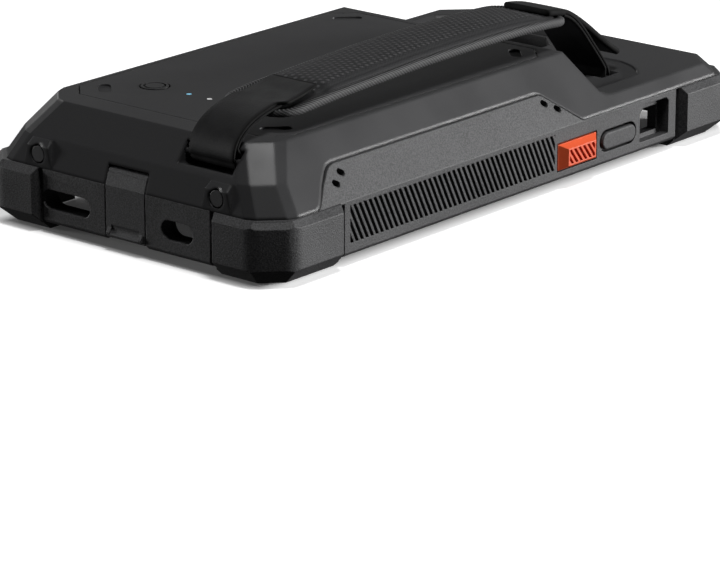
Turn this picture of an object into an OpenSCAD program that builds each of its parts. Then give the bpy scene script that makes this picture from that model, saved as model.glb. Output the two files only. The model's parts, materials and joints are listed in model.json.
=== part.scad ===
// Rugged phone sled with a back battery housing and a hand strap.
// Rest pose: open face down on the four corner lips, +Z up, phone bottom end at -X.

/* [Envelope] */
// Half length of the side walls, measured at the end walls
half_len = 79.3; // [70:0.1:95]
// Half width of the side walls
half_wid = 40.5; // [36:0.1:48]
// Extra reach of the corner bumpers beyond the end walls
bump_x = 1.6; // [0.5:0.1:3]
// Extra reach of the corner bumpers beyond the long walls
bump_y = 1.7; // [0.5:0.1:3]
// Leg of the corner chamfer on the bumpers
bump_c = 6.5; // [3:0.1:10]
// Height of the rim between the bumpers
rim_z = 2.0; // [1:0.1:3]
// Height of the seam between frame and housing
seam_z = 13.8; // [12:0.1:16]
// Height of the lower deck
deck_z = 16.8; // [15:0.1:19]
// Height of the top of the housing
top_z = 26.9; // [22:0.1:32]

/* [Phone cavity] */
// Half length of the phone cavity
cav_x = 73.6; // [65:0.1:80]
// Half width of the phone cavity
cav_y = 36.0; // [32:0.1:42]
// Corner radius of the phone cavity
cav_r = 9.0; // [5:0.1:12]
// Height of the floor the phone's back lies on
floor_z = 11.2; // [10:0.1:12.5]
// Inward reach of the retaining lip
lip = 0.7; // [0.3:0.1:1.2]

/* [Housing] */
// Front ridge of the housing top
ridge_x0 = -72.5; // [-76:0.1:-68]
// Rear ridge of the housing top
ridge_x1 = 27.0; // [20:0.1:35]
// Foot of the rear slope on the deck
foot_x1 = 33.0; // [28:0.1:40]
// Half width of the housing top
ridge_y = 31.3; // [28:0.1:35]

/* [Side grille] */
// Number of slanted grooves
slot_n = 43; // [20:1:60]
// Pitch of the grooves
slot_pitch = 1.6; // [1.2:0.05:2.4]
// Width of one groove
slot_w = 0.8; // [0.4:0.05:1.2]
// Depth of one groove
slot_d = 0.6; // [0.2:0.05:1]
// Lean of the grooves from upright
slot_lean = 27; // [0:1:45]

/* [Buttons] */
// Length of the action button
act_len = 13.6; // [10:0.1:16]
// Height of the action button
act_h = 5.8; // [4:0.1:7]
// Centre of the action button along the side
act_x = 20.8; // [15:0.1:25]
// Centre of the pill keys above the ground
key_z = 7.4; // [6:0.1:9]
// Centre of the volume key along the side
vol_x = 35.7; // [30:0.1:40]
// Centre of the phone power key along the far side
pwr_x = 33.0; // [28:0.1:40]
// Radius of the round power button
pow_r = 3.0; // [2:0.1:4]

/* [Strap] */
// Centre line of the strap across the body
strap_y = -20.0; // [-24:0.5:24]
// Width of the strap tabs
tab_w = 12.4; // [10:0.1:20]
// Centre line of the strap tabs
tab_y = -20.3; // [-24:0.1:24]
// Thickness of the strap tabs
tab_t = 1.4; // [1:0.1:2.5]
// Width of the padded sleeve
pad_w = 20.0; // [16:0.5:26]
// Thickness of the padded sleeve
pad_t = 3.0; // [2:0.1:4]

/* [Hidden] */
$fn = 48;
e = 0.01;
bx = half_len + bump_x;
by = half_wid + bump_y;
side_k = (top_z - seam_z) / (half_wid - ridge_y);

// prism along Y from an XZ outline, from y0 to y1
module xz(y0, y1) { translate([0, y1, 0]) rotate([90, 0, 0]) linear_extrude(height = y1 - y0) children(); }
// prism along X from a YZ outline, from x0 to x1
module yz(x0, x1) { translate([x0, 0, 0]) rotate([90, 0, 90]) linear_extrude(height = x1 - x0) children(); }
// rounded rectangle, half sizes
module rrect(hx, hy, r) {
  union() {
    square([2 * hx - 2 * r, 2 * hy], center = true);
    square([2 * hx, 2 * hy - 2 * r], center = true);
    for (i = [-1, 1], j = [-1, 1]) translate([i * (hx - r), j * (hy - r)]) circle(r = r);
  }
}
// stadium along the first axis, full length and full height
module pill(l, h) {
  union() {
    square([l - h, h], center = true);
    for (i = [-1, 1]) translate([i * (l - h) / 2, 0]) circle(d = h);
  }
}
// block with flats cut on four corners, chamfered at the bottom (bi wide, bh high) and top (ti wide, th high)
module octa(hx, hy, c, z0, z1, bi, bh, ti, th) {
  d = (hx + hy - c) / sqrt(2);
  intersection() {
    xz(-hy - 1, hy + 1) polygon([[-hx, z0 + bh], [-hx + bi, z0], [hx - bi, z0], [hx, z0 + bh], [hx, z1 - th], [hx - ti, z1], [-hx + ti, z1], [-hx, z1 - th]]);
    yz(-hx - 1, hx + 1) polygon([[-hy, z0 + bh], [-hy + bi, z0], [hy - bi, z0], [hy, z0 + bh], [hy, z1 - th], [hy - ti, z1], [-hy + ti, z1], [-hy, z1 - th]]);
    for_both() xz(-150, 150) polygon([[-d, z0 + bh], [-d + bi, z0], [d - bi, z0], [d, z0 + bh], [d, z1 - th], [d - ti, z1], [-d + ti, z1], [-d, z1 - th]]);
  }
}
// outline of a rectangle with cut corners whose eight vertices are rounded
module soft_octagon(hx, hy, c, r) {
  t = r * tan(22.5);
  k = t / sqrt(2);
  union() {
    polygon([for (q = [[1, 1], [-1, 1], [-1, -1], [1, -1]]) each let(a = [[hx, hy - c - t], [hx - k, hy - c + k], [hx - c + k, hy - k], [hx - c - t, hy]], b = q[0] * q[1] > 0 ? a : rev(a)) [for (v = b) [q[0] * v[0], q[1] * v[1]]]]);
    for (i = [-1, 1], j = [-1, 1]) {
      translate([i * (hx - r), j * (hy - c - t)]) circle(r = r);
      translate([i * (hx - c - t), j * (hy - r)]) circle(r = r);
    }
  }
}
// block on a soft octagon, its bottom and top chamfers cut by wide planes
module soft_block(hx, hy, c, r, z0, z1, bi, bh, ti, th) {
  d = (hx + hy - c) / sqrt(2);
  m = 3;
  function side(h) = [[h - bi, z0], [h + m, z0 + bh * (bi + m) / bi], [h + m, z1 - th * (ti + m) / ti], [h - ti, z1]];
  function ring(h) = concat(side(h), rev([for (v = side(h)) [-v[0], v[1]]]));
  intersection() {
    translate([0, 0, z0 - 1]) linear_extrude(height = z1 - z0 + 2) soft_octagon(hx, hy, c, r);
    xz(-hy - 4, hy + 4) polygon(ring(hx));
    yz(-hx - 4, hx + 4) polygon(ring(hy));
    for_both() xz(-150, 150) polygon(ring(d));
  }
}
module for_each_way(a) { intersection() { rotate([0, 0, a]) children(); rotate([0, 0, -a]) children(); } }
module for_both() { intersection() { rotate([0, 0, 45]) children(); rotate([0, 0, -45]) children(); } }

// ---- frame -------------------------------------------------------------
module corner_blocks() {
  for (i = [-1, 1], j = [-1, 1]) scale([1, 1, 1]) mirror([i < 0 ? 1 : 0, 0, 0]) mirror([0, j < 0 ? 1 : 0, 0])
    translate([0, 0, -1]) linear_extrude(height = seam_z + 2)
      polygon([[57.9, half_wid - 1.2], [58.5, half_wid - 0.2], [60.2, by + 1], [bx + 2, by + 1], [bx + 2, 26.3], [half_len - 0.2, 24.7], [half_len - 1.2, 24.2], [57.9, 24.2]]);
}
module grooves(n, x0) {
  intersection() {
    xz(-half_wid - 1, -half_wid + slot_d) union() for (i = [-3 : n + 3]) translate([x0 + i * slot_pitch, 8.7]) rotate([0, 0, slot_lean]) square([slot_w, 14], center = true);
    translate([-55.6, -half_wid - 2, 4.7]) cube([68.4, 4, 8.0]);
  }
}
module side_panel() {
  // raised panel that climbs the housing slope above the long wall
  difference() {
    intersection() {
      yz(-72, 26) polygon([[-half_wid, 12.5], [-half_wid, seam_z], [-36.1, 20.9], [-34.4, 20.9], [-39.0, seam_z + 0.5], [-39.0, 12.5]]);
      xz(-60, 60) polygon([[-65.6, 12], [-65.6, 13.75], [-64.6, 14.15], [-63.6, 15.0], [-60.9, 17.8], [-58.2, 20.0], [-57.2, 20.6], [-55.8, 20.9], [12.2, 20.9], [13.4, 20.5], [22.6, 14.0], [23.2, 13.75], [23.2, 12]]);
    }
    // cord eyelets
    for (p = [[-54.8, 19.2], [-57.4, 16.9], [13.0, 19.3], [16.4, 17.0]]) translate([p[0], -37.5, p[1]]) rotate([58.2, 0, 0]) translate([0, 0, -4]) linear_extrude(height = 8) rotate([0, 0, -35]) pill(2.2, 1.4);
  }
}
module panel_seat() {
  // recess in the housing slope that takes the raised panel
  intersection() {
    yz(-73, 27) polygon([[-half_wid - 2, 13], [-half_wid - 2, 20.95], [-34.35, 20.95], [-38.95, seam_z + 0.5], [-38.95, 13]]);
    xz(-60, 60) polygon([[-65.7, 12], [-65.7, 13.8], [-64.66, 14.22], [-63.66, 15.07], [-60.96, 17.87], [-58.25, 20.07], [-57.22, 20.67], [-55.82, 20.96], [12.25, 20.96], [13.46, 20.56], [22.66, 14.06], [23.3, 13.8], [23.3, 12]]);
  }
}
module bumper_frame() {
  color([0.16, 0.16, 0.17]) difference() {
    union() {
      // side walls with a small bottom chamfer
      octa(half_len, half_wid, 5, rim_z, seam_z, 0.8, 0.8, 0, 0);
      intersection() { soft_block(bx, by, bump_c, 5, 0, seam_z, 4.2, 3.7, 1.4, 1.4); corner_blocks(); }
      side_panel();
      mirror([0, 1, 0]) side_panel();
    }
    // phone cavity, retaining lip and the seat of the tray
    translate([0, 0, 3.2]) linear_extrude(height = floor_z - 3.1) rrect(cav_x, cav_y, cav_r);
    translate([0, 0, -1]) linear_extrude(height = 5) rrect(cav_x - lip, cav_y - lip, cav_r);
    translate([0, 0, floor_z]) linear_extrude(height = seam_z - floor_z + 0.01) rrect(75.7, 38.1, 6);
    // upright relief grooves beside each bumper
    for (i = [-1, 1], j = [-1, 1]) {
      translate([i * 57.95 - 0.6, j * half_wid - 0.9, 1]) cube([1.2, 1.8, i < 0 ? 12.4 : 13.6]);
      translate([i * half_len - 0.9, j * 24.2 - 0.7, 1]) cube([1.8, 1.4, 13.6]);
    }
    grooves(slot_n, -55.4);
    mirror([0, 1, 0]) grooves(slot_n, -55.4);
    // speaker and microphone openings in the port end
    yz(-82, -70) translate([16.85, 7.45]) pill(13.7, 4.3);
    yz(-82, -70) translate([-14.4, 7.45]) pill(8.8, 4.3);
    yz(-76.4, -70) translate([16.85, 7.35]) pill(16.2, 5.2);
    yz(-76.4, -70) translate([-16.9, 7.35]) pill(16.2, 5.2);
    // charging port opening and the seat of its door
    translate([-82, -4.6, 3.9]) cube([12, 9.2, 6.4]);
    translate([-82, -5.75, 1]) cube([4.5, 11.5, 14]);
    // action button pocket
    translate([act_x - act_len / 2 - 0.35, -44, 7.3 - act_h / 2 - 0.35]) cube([act_len + 0.7, 4.8, act_h + 0.7]);
    translate([act_x - act_len / 2 - 0.35, -39.3, 7.3 - act_h / 2 - 1.3]) cube([act_len + 0.7, 2.65, act_h + 2.6]);
    // volume key recess and its way through
    xz(-44, -38.7) translate([vol_x, key_z]) pill(13.5, 5.1);
    translate([vol_x - 4.3, -40, key_z - 1.15]) cube([8.6, 6, 2.3]);
    // phone power key on the far side
    xz(38.7, 44) translate([pwr_x, key_z]) pill(13.5, 5.1);
    translate([pwr_x - 4.3, 34, key_z - 1.15]) cube([8.6, 6, 2.3]);
    // slit that frees the wall round the power key
    translate([19.3, 35.5, 3.6]) cube([0.7, 1.3, 6.4]);
    // switch cutout, wide mouth and through hole
    xz(-44, -38.4) translate([49.2, 8.4]) polygon([[-5.4, -4.2], [5.4, -4.2], [5.4, 3.4], [4.6, 4.2], [-3.6, 4.2], [-5.4, 2.4]]);
    translate([45.6, -40, 5.2]) cube([7.2, 6, 5.7]);
    // recess for the foam strip
    translate([73, 5.9, 7.9]) cube([1.35, 24.2, 3.4]);
  }
}

// ---- tray --------------------------------------------------------------
module cam_hole(g, z0, z1) {
  // camera opening, g is the growth of every side
  translate([55, 17, 0]) octa(15.6 + g, 16.65 + g, 6 + g * 0.6, z0, z1, 0, 0, 0, 0);
}
module phone_tray() {
  color([0.10, 0.10, 0.105]) difference() {
    union() {
      translate([0, 0, floor_z]) linear_extrude(height = seam_z - floor_z - 0.02) rrect(75.6, 38.0, 5.9);
      // raised field that the phone's back lies on
      difference() {
        translate([0, 0, floor_z - 0.3]) linear_extrude(height = 1) rrect(71.6, 34.2, 8);
        cam_hole(3.2, floor_z - 1, seam_z + 1);
      }
    }
    cam_hole(0.9, floor_z - 1, seam_z + 1);
    // seat of the charging coil
    translate([0, 0, 12.3]) cylinder(r = 21.6, h = 3);
    // screw holes
    for (p = tray_pts) translate([p[0], p[1], floor_z - 1]) { cylinder(r = 0.9, h = 6); }
  }
}
tray_pts = [[-69.6, 31.2], [-69.6, -31.2], [30.6, 33.2], [30.6, -33.2]];

// ---- housing -----------------------------------------------------------
module housing_outer() {
  difference() {
    intersection() {
      xz(-60, 60) polygon([[-half_len, seam_z], [-77.2, 20], [ridge_x0, top_z], [ridge_x1, top_z], [foot_x1 - 1.6, deck_z + 2.7], [foot_x1 - 0.5, deck_z + 1.1], [foot_x1 + 0.9, deck_z + 0.3], [foot_x1 + 2.9, deck_z], [76.2, deck_z], [half_len, seam_z]]);
      yz(-90, 90) polygon([[-half_wid, seam_z], [-ridge_y, top_z], [ridge_y, top_z], [half_wid, seam_z]]);
      rotate([0, 0, 45]) xz(-150, 150) polygon([[-80.2, seam_z], [-76.2, 19.9], [-69, top_z], [60, top_z], [77, deck_z], [80.2, seam_z]]);
      rotate([0, 0, -45]) xz(-150, 150) polygon([[-80.2, seam_z], [-76.2, 19.9], [-69, top_z], [60, top_z], [77, deck_z], [80.2, seam_z]]);
      // narrow facets that soften both edges of the diagonal corners at the port end
      for_each_way(22.5) xz(-150, 150) polygon([[-85.8, seam_z], [-82.45, 19.95], [-76.0, top_z], [120, top_z], [120, seam_z]]);
      for_each_way(67.5) xz(-150, 150) polygon([[-64.8, seam_z], [-60.3, 19.95], [-53.7, top_z], [120, top_z], [120, seam_z]]);
    }
  }
}
module bosses() {
  for (j = [-1, 1]) translate([0, j * 25.1, 0]) intersection() {
    yz(-79.6, -74) polygon([[-4.1, seam_z], [4.1, seam_z], [2.7, 19.7], [-2.7, 19.7]]);
    xz(-6, 6) polygon([[-79.25, seam_z], [-79.15, 18.3], [-77.6, 19.7], [-74, 19.7], [-74, seam_z]]);
  }
}
module cover_outline(g) {
  difference() {
    translate([-20.65, 0]) square([90.9 + 2 * g, 59.6 + 2 * g], center = true);
    for (i = [-1, 1], j = [-1, 1]) translate([-20.65 + i * (45.45 + g), j * (29.8 + g)]) rotate([0, 0, 45]) square([6.8, 6.8], center = true);
  }
}
module back_housing() {
  color([0.13, 0.13, 0.135]) difference() {
    union() { housing_outer(); bosses(); }
    panel_seat();
    mirror([0, 1, 0]) panel_seat();
    // room for the battery and boards, seat of the cover
    translate([-64, -28, seam_z - 1]) cube([86.6, 56, 20]);
    translate([0, 0, 24.85]) linear_extrude(height = 5) cover_outline(0.15);
    // camera opening with a bevelled mouth
    cam_hole(0.9, seam_z - 1, deck_z + 1);
    translate([55, 17, 0]) octa(18.1, 19.15, 7.5, deck_z - 1.5, deck_z + 1, 1.6, 1.5, 0, 0);
    // front strap slot and bar bores
    xz(tab_y - 6.8, tab_y + 8.1) polygon([[-80, 21.0], [-76.6, 21.0], [-71.3, 20.2], [-69.6, 21.4], [-69.6, 24.4], [-71.6, 25.4], [-80, 25.4]]);
    translate([-73.2, -27.5, 23.0]) rotate([-90, 0, 0]) cylinder(r = 0.84, h = 16.5);
    // rear strap scoop and bar bores
    intersection() {
      translate([0, strap_y, seam_z]) linear_extrude(height = 6) intersection() {
        translate([foot_x1 + 0.6, -13]) square([30, 26]);
        translate([45.2, 0]) circle(r = 15);
      }
      xz(strap_y - 20, strap_y + 20) polygon([[20, 16.1], [54.5, 16.1], [59.8, 16.5], [62, 21], [20, 21]]);
    }
    translate([47.3, tab_y - 6.9, seam_z - 1]) cube([6.2, 13.8, 5]);
    translate([50.5, tab_y - 8.3, 15.2]) rotate([-90, 0, 0]) cylinder(r = 0.63, h = 16.6);
    // door seat, hinge trough and pin bore
    yz(-82, -77.15) translate([0, 14.8]) square([11.5, 2.4], center = true);
    translate([-77.3, -5.75, 16.4]) rotate([-90, 0, 0]) cylinder(r = 1.62, h = 11.5);
    translate([-82, -5.75, 13]) cube([4.3, 11.5, 3.4]);
    translate([-77.3, -8, 16.4]) rotate([-90, 0, 0]) cylinder(r = 0.52, h = 16);
    // end screw seats
    for (j = [-1, 1]) translate([0, j * 25.1, 16.6]) rotate([0, 90, 0]) {
      translate([0, 0, -80]) cylinder(r = 2.05, h = 2.2);
      translate([0, 0, -80]) cylinder(r = 0.82, h = 9.5);
    }
    // screws from the tray
    for (p = tray_pts) translate([p[0], p[1], seam_z - 1]) cylinder(r = 0.82, h = p[0] > 0 ? 3.4 : 5.5);
  }
}
module top_cover() {
  color([0.12, 0.12, 0.125]) difference() {
    translate([0, 0, 24.87]) linear_extrude(height = top_z - 24.87) cover_outline(0);
    // round button and light openings
    translate([-51.4, 17.3, 20]) cylinder(r = pow_r + 0.35, h = 10);
    translate([-51.5, 7.4, 20]) cylinder(r = 0.6, h = 10);
    translate([-51.6, 1.5, 20]) cylinder(r = 0.6, h = 10);
    // diagonal corner recesses
    for (i = [-1, 1], j = [-1, 1]) translate([-20 + i * 39.6, j * 24.1, top_z - 0.4]) rotate([0, 0, -i * j * 45]) linear_extrude(height = 2) pill(6.8, 2.6);
  }
}
module camera_bezel() {
  color([0.08, 0.08, 0.085]) difference() {
    translate([55, 17, 0]) octa(16.45, 17.5, 6.5, floor_z + 0.05, deck_z - 1.55, 0, 0, 0, 0);
    translate([55, 17, 0]) octa(15.6, 16.65, 6.0, floor_z - 1, deck_z + 1, 0, 0, 0, 0);
  }
}
module end_foam() { color([0.82, 0.82, 0.80]) translate([73.3, 6, 8]) cube([1.0, 24, 3.1]); }

// ---- port door ---------------------------------------------------------
module port_door() {
  color([0.15, 0.15, 0.155]) difference() {
    union() {
      xz(-5.4, 5.4) polygon([[-79.3, 2.7], [-79.3, seam_z], [-78.42, 16.4], [-77.3, 16.4], [-77.3, 15.5], [-77.85, 13.6], [-77.85, 2.7]]);
      translate([-77.3, -5.4, 16.4]) rotate([-90, 0, 0]) cylinder(r = 1.0, h = 10.8);
      // finger lip at the foot
      xz(-4.9, 4.9) polygon([[-79.2, 2.9], [-80.0, 3.4], [-80.0, 3.9], [-79.2, 5.0]]);
    }
    translate([-77.3, -9, 16.4]) rotate([-90, 0, 0]) cylinder(r = 0.55, h = 20);
    // shallow thumb scoop
    translate([-80.6, 0, 4.8]) rotate([-90, 0, 0]) translate([0, 0, -4]) cylinder(r = 1.5, h = 8);
  }
}
module door_pin() { color([0.6, 0.6, 0.62]) translate([-77.3, -7.8, 16.4]) rotate([-90, 0, 0]) cylinder(r = 0.5, h = 15.6); }

// ---- buttons -----------------------------------------------------------
module action_button() {
  l = act_len; h = act_h; zc = 7.3;
  color([0.93, 0.22, 0.06]) difference() {
    union() {
      translate([act_x - l / 2, -half_wid, zc - h / 2]) cube([l, 1.7, h]);
      translate([act_x - l / 2, -38.95, zc - h / 2 - 0.95]) cube([l, 0.75, h + 1.9]);
      intersection() {
        translate([act_x - l / 2, -42.0, zc - h / 2]) cube([l, 2, h]);
        yz(act_x - 10, act_x + 10) polygon([[-40.4, zc - h / 2], [-42.0, zc - h / 2 + 0.9], [-42.0, zc + h / 2 - 1.1], [-40.4, zc + h / 2], [-39, zc + h / 2], [-39, zc - h / 2]]);
        translate([0, 0, zc - 10]) linear_extrude(height = 20) polygon([[act_x - l / 2, -40.4], [act_x - l / 2 + 1.9, -42.0], [act_x + l / 2 - 1.9, -42.0], [act_x + l / 2, -40.4], [act_x + l / 2, -39], [act_x - l / 2, -39]]);
      }
    }
    intersection() {
      xz(-43, -41.6) union() for (i = [-3 : 3]) translate([act_x + i * 1.6, zc]) rotate([0, 0, 38]) square([0.75, 9], center = true);
      translate([act_x - 4.5, -44, zc - 1.7]) cube([9.0, 4, 3.2]);
    }
  }
}
module action_switch() { color([0.5, 0.5, 0.52]) union() { translate([act_x - 3, -37.35, 5.3]) cube([6, 0.65, 4]); translate([act_x, -37.2, 7.3]) rotate([90, 0, 0]) cylinder(r = 1.2, h = 0.35); } }
module key_shape() {
  union() {
    xz(-41.0, -39.5) pill(12.3, 3.9);
    translate([-4.0, -39.6, -0.85]) cube([8.0, 3.4, 1.7]);
  }
}
module volume_key() { color([0.15, 0.15, 0.155]) translate([vol_x, 0, key_z]) key_shape(); }
module phone_power_key() { color([0.15, 0.15, 0.155]) translate([pwr_x, 0, key_z]) mirror([0, 1, 0]) key_shape(); }
module power_button() {
  color([0.12, 0.12, 0.125]) translate([-51.4, 17.3, 0]) difference() {
    union() {
      translate([0, 0, 24.9]) cylinder(r = pow_r, h = top_z + 0.15 - 24.9);
      translate([0, 0, 24.0]) cylinder(r = pow_r + 0.9, h = 0.5);
      translate([0, 0, 24.2]) cylinder(r = pow_r - 0.6, h = 1.2);
    }
    translate([0, 0, top_z - 0.25]) difference() { cylinder(r = pow_r - 0.55, h = 1); translate([0, 0, -1]) cylinder(r = pow_r - 1.0, h = 3); }
  }
}
module power_switch() { color([0.55, 0.55, 0.57]) translate([-51.4, 17.3, 0]) union() { translate([-2, -2, 22.42]) cube([4, 4, 0.6]); translate([0, 0, 22.9]) cylinder(r = 1.1, h = 0.45); } }
module led_pipe_blue() { color([0.2, 0.5, 0.95]) translate([-51.5, 7.4, 22.5]) cylinder(r = 0.55, h = top_z + 0.02 - 22.5); }
module led_pipe_white() { color([0.95, 0.95, 0.95]) translate([-51.6, 1.5, 22.5]) cylinder(r = 0.55, h = top_z + 0.02 - 22.5); }

// ---- inside the housing ------------------------------------------------
module control_board() { color([0.05, 0.25, 0.12]) translate([-62, -8, 21.4]) cube([15.6, 33, 1.0]); }
module main_board() { color([0.05, 0.25, 0.12]) translate([-62, -26, 14.4]) cube([82, 52, 1.2]); }
module board_link() { color([0.15, 0.15, 0.15]) translate([-60.5, -6, 15.62]) cube([3.2, 14, 5.76]); }
module battery_cell() { color([0.55, 0.57, 0.60]) union() { translate([-42.5, -25, 15.9]) cube([61, 50, 8.0]); translate([-45, -12, 17.5]) cube([3, 24, 3.5]); } }
module charging_coil() { color([0.72, 0.45, 0.2]) translate([0, 0, 12.4]) difference() { cylinder(r = 21.3, h = 1.1); translate([0, 0, -1]) cylinder(r = 11, h = 4); } }
module end_screws() {
  color([0.35, 0.35, 0.36]) for (j = [-1, 1]) translate([0, j * 25.1, 16.6]) rotate([0, 90, 0])
    union() { translate([0, 0, -79.05]) cylinder(r = 1.75, h = 1.2); translate([0, 0, -78]) cylinder(r = 0.8, h = 7); }
}
module tray_screws() {
  color([0.6, 0.6, 0.62]) for (p = tray_pts) translate([p[0], p[1], 0]) translate([0, 0, floor_z + 0.6]) cylinder(r = 0.8, h = p[0] > 0 ? 4.3 : 6.2);
}

// ---- strap -------------------------------------------------------------
// band of constant thickness along a path in XZ
function dirv(p, i) = let(a = p[max(i - 1, 0)], b = p[min(i + 1, len(p) - 1)], d = b - a, n = norm(d)) d / n;
function offs(p, s) = [for (i = [0 : len(p) - 1]) let(t = dirv(p, i)) p[i] + s * [-t[1], t[0]]];
function rev(p) = [for (i = [len(p) - 1 : -1 : 0]) p[i]];
module band(p, t) { polygon(concat(offs(p, t / 2), rev(offs(p, -t / 2)))); }
// padded sleeve: station, height of its middle, half thickness
pad_st = [[-63.5, 30.9, 0.6], [-60, 31.3, 0.7], [-56, 31.7, 0.8], [-52, 32.05, 0.95], [-48, 32.35, 1.1], [-42, 32.7, 1.25], [-30, 33.2, 1.3], [-18, 33.7, 1.3],
  [-6, 33.9, 1.3], [6, 33.95, 1.3], [14, 33.85, 1.25], [18, 33.7, 1.1], [21.5, 33.55, 1.0], [25, 33.35, 0.9], [30, 32.95, 0.75], [33.5, 32.3, 0.6]];
function over(i) = [pad_st[i][0], pad_st[i][1] + pad_st[i][2] + tab_t / 2 + 0.03];
front_path = [[-74.55, 23.6], [-74.6, 24.6], [-74.3, 26.0], [-73.2, 27.9], [-71.2, 29.5], [-68.8, 30.75], [-66, 31.65], over(0), over(1), over(2), over(3), [-50, over(3)[1] * 0.5 + over(4)[1] * 0.5]];
rear_path = [[50.95, 15.5], [50.75, 16.9], [49.7, 18.5], [48.05, 20.5], [46.3, 22.6], [44.5, 24.6], [42.4, 27.1], [40.5, 29.1], [38.4, 31.0], [36.2, 32.5], [34.0, 33.3]];
tail_path = [[27.6, 34.62], [30, 34.35], [33.5, 33.75], [35.9, 33.1], [38.7, 31.6], [43.0, 28.8], [47.1, 25.75], [51.3, 22.8], [55.5, 20.15]];
module pad_band(hs, up, lo) { polygon(concat([for (p = pad_st) [p[0], p[1] + up * min(hs, p[2])]], [for (i = [len(pad_st) - 1 : -1 : 0]) [pad_st[i][0], pad_st[i][1] - lo * min(hs, pad_st[i][2])]])); }
module strap_bar_front() { color([0.6, 0.6, 0.62]) translate([-73.2, -27.4, 23.0]) rotate([-90, 0, 0]) cylinder(r = 0.8, h = 16.3); }
module strap_bar_rear() { color([0.6, 0.6, 0.62]) translate([50.5, tab_y - 8.2, 15.2]) rotate([-90, 0, 0]) cylinder(r = 0.6, h = 16.4); }
module strap_tab_front() {
  color([0.07, 0.07, 0.075]) difference() {
    union() {
      xz(tab_y - tab_w / 2, tab_y + tab_w / 2) band(front_path, tab_t);
      translate([-73.2, tab_y - tab_w / 2, 23.0]) rotate([-90, 0, 0]) cylinder(r = 1.75, h = tab_w);
    }
    translate([-73.2, strap_y - 20, 23.0]) rotate([-90, 0, 0]) cylinder(r = 0.85, h = 40);
  }
}
module strap_tab_rear() {
  color([0.07, 0.07, 0.075]) difference() {
    union() {
      xz(tab_y - tab_w / 2, tab_y + tab_w / 2) band(rear_path, tab_t);
      // upper layer, from the flap on the sleeve to the loose end that stands off the tab
      xz(tab_y - tab_w / 2 + 0.1, tab_y + tab_w / 2 - 0.1) band(tail_path, 1.2);
      translate([50.5, tab_y - tab_w / 2, 15.2]) rotate([-90, 0, 0]) cylinder(r = 1.2, h = tab_w);
    }
    translate([50.5, strap_y - 20, 15.2]) rotate([-90, 0, 0]) cylinder(r = 0.65, h = 40);
  }
}
module pad_plan(g) { translate([-15, strap_y]) rrect(48.5 + g, pad_w / 2 + g, 6 + g); }
module strap_pad() {
  color([0.09, 0.09, 0.095]) intersection() {
    xz(-60, 20) pad_band(3, 1, 1);
    translate([0, 0, 20]) linear_extrude(height = 30) pad_plan(-1.4);
  }
}
module strap_binding() {
  color([0.28, 0.28, 0.29]) intersection() {
    xz(-60, 20) pad_band(1.1, 1, 1);
    translate([0, 0, 20]) linear_extrude(height = 30) difference() { pad_plan(0); pad_plan(-1.35); }
  }
}
module pad_liner() {
  color([0.06, 0.06, 0.065]) intersection() {
    xz(-60, 20) polygon(concat([for (p = pad_st) [p[0], p[1] - p[2] - 0.03]], [for (i = [len(pad_st) - 1 : -1 : 0]) [pad_st[i][0], pad_st[i][1] - pad_st[i][2] - 0.43]]));
    translate([0, 0, 20]) linear_extrude(height = 30) pad_plan(-1.4);
  }
}

bumper_frame();
phone_tray();
back_housing();
top_cover();
camera_bezel();
end_foam();
port_door();
door_pin();
action_button();
action_switch();
volume_key();
phone_power_key();
power_button();
power_switch();
led_pipe_blue();
led_pipe_white();
control_board();
main_board();
board_link();
battery_cell();
charging_coil();
end_screws();
tray_screws();
strap_bar_front();
strap_bar_rear();
strap_tab_front();
strap_tab_rear();
strap_pad();
strap_binding();
pad_liner();
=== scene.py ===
import json
import math

import bmesh
import bpy
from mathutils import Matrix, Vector, noise

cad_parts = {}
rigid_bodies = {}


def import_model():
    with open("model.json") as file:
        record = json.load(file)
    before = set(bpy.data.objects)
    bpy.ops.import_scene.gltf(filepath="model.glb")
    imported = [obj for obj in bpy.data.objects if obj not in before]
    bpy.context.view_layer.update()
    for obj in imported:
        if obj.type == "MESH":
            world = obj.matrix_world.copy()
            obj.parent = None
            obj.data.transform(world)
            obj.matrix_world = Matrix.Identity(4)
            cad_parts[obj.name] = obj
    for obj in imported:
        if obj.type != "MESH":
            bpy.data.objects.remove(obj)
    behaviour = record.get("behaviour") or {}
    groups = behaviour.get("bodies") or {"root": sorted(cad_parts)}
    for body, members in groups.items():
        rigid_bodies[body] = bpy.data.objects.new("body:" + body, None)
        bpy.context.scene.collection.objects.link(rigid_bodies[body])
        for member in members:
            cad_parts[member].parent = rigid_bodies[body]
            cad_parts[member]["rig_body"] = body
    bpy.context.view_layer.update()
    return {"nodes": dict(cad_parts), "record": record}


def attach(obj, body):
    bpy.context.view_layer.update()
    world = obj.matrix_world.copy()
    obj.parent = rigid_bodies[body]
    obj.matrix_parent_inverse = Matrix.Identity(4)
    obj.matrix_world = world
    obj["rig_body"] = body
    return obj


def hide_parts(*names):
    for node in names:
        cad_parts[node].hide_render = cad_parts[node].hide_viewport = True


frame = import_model()
NODES = frame["nodes"]
MM = 0.001  # lengths below are in mm unless they say otherwise
MAT = {}  # the materials made here, by the name of the slot that each is for


# ---------------------------------------------------------------- shader helpers
def add(nt, kind, **values):
    """A new node with its inputs, or else its settings, filled in by name."""
    n = nt.nodes.new(kind)
    for k, v in values.items():
        if k in n.inputs:
            n.inputs[k].default_value = v
        else:
            setattr(n, k, v)
    return n


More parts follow.
